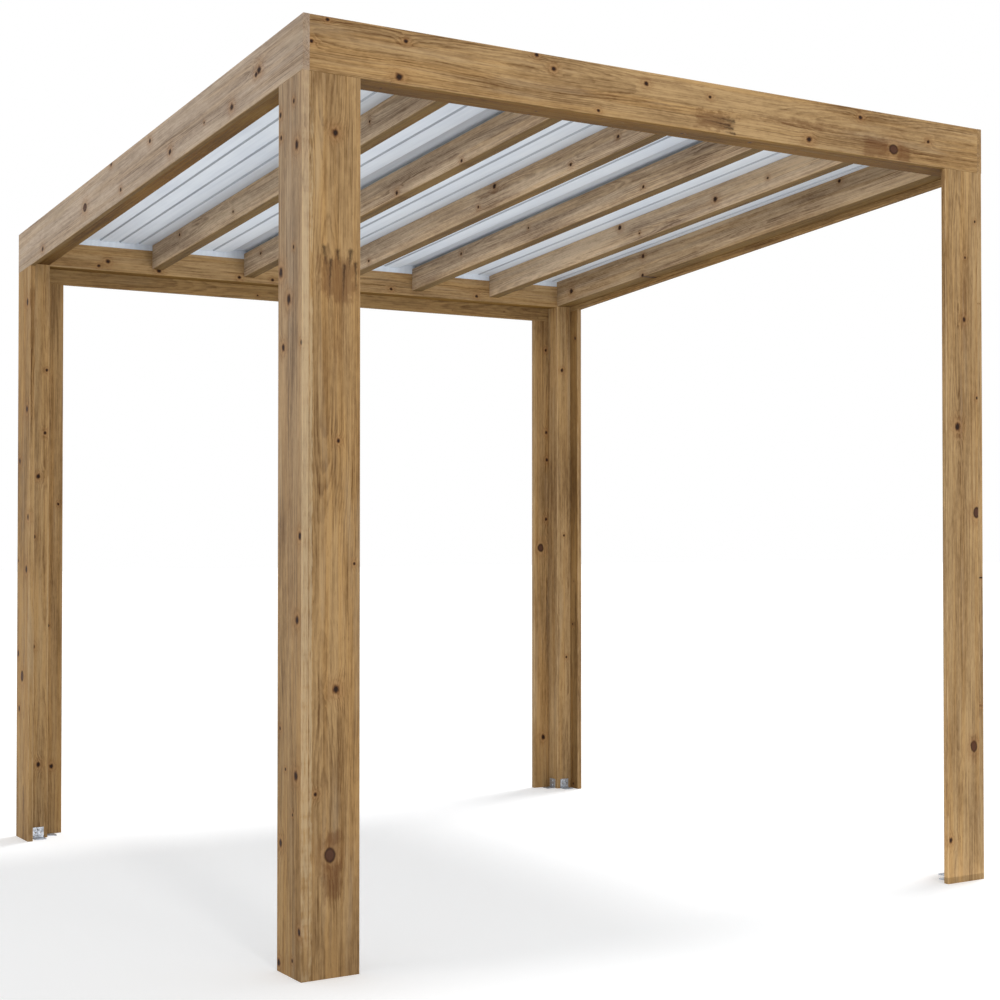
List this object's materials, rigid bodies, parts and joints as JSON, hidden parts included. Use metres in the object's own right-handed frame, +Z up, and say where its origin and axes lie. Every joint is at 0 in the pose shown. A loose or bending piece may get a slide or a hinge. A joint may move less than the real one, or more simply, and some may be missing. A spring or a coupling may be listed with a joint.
{
  "type": "timber pergola",
  "caption": "Free-standing square timber pergola with boxed corner posts, fascia boards, rafters and a ribbed steel sheet roof that falls gently to the rear.",
  "frame": {"origin": "on the ground, at the middle of the bounding box", "axes": "+Z up, the front with the high edge of the roof looks along -Y, +X to the right seen from the front"},
  "size_m": [2.418, 2.425, 2.42],
  "materials": {
    "timber": "planed and oiled",
    "roof_sheet": "satin",
    "bracket_steel": "galvanised"
  },
  "bodies": {
    "root": {"front_fascia": "timber", "rear_fascia": "timber", "left_fascia": "timber", "right_fascia": "timber", "front_header": "timber", "rear_joist": "timber", "left_joist": "timber", "right_joist": "timber", "rafter_1": "timber", "rafter_2": "timber", "rafter_3": "timber", "rafter_4": "timber", "rafter_5": "timber", "post_front_left_side_board": "timber", "post_front_left_face_board": "timber", "post_front_left_core": "timber", "post_front_right_side_board": "timber", "post_front_right_face_board": "timber", "post_front_right_core": "timber", "post_rear_left_side_board": "timber", "post_rear_left_face_board": "timber", "post_rear_left_core": "timber", "post_rear_right_side_board": "timber", "post_rear_right_face_board": "timber", "post_rear_right_core": "timber", "bracket_front_left_across": "bracket_steel", "bracket_front_left_along": "bracket_steel", "bracket_front_right_across": "bracket_steel", "bracket_front_right_along": "bracket_steel", "bracket_rear_left_across": "bracket_steel", "bracket_rear_left_along": "bracket_steel", "bracket_rear_right_across": "bracket_steel", "bracket_rear_right_along": "bracket_steel", "roof_sheet_left": "roof_sheet", "roof_sheet_middle": "roof_sheet", "roof_sheet_right": "roof_sheet"}
  },
  "joints": []
}
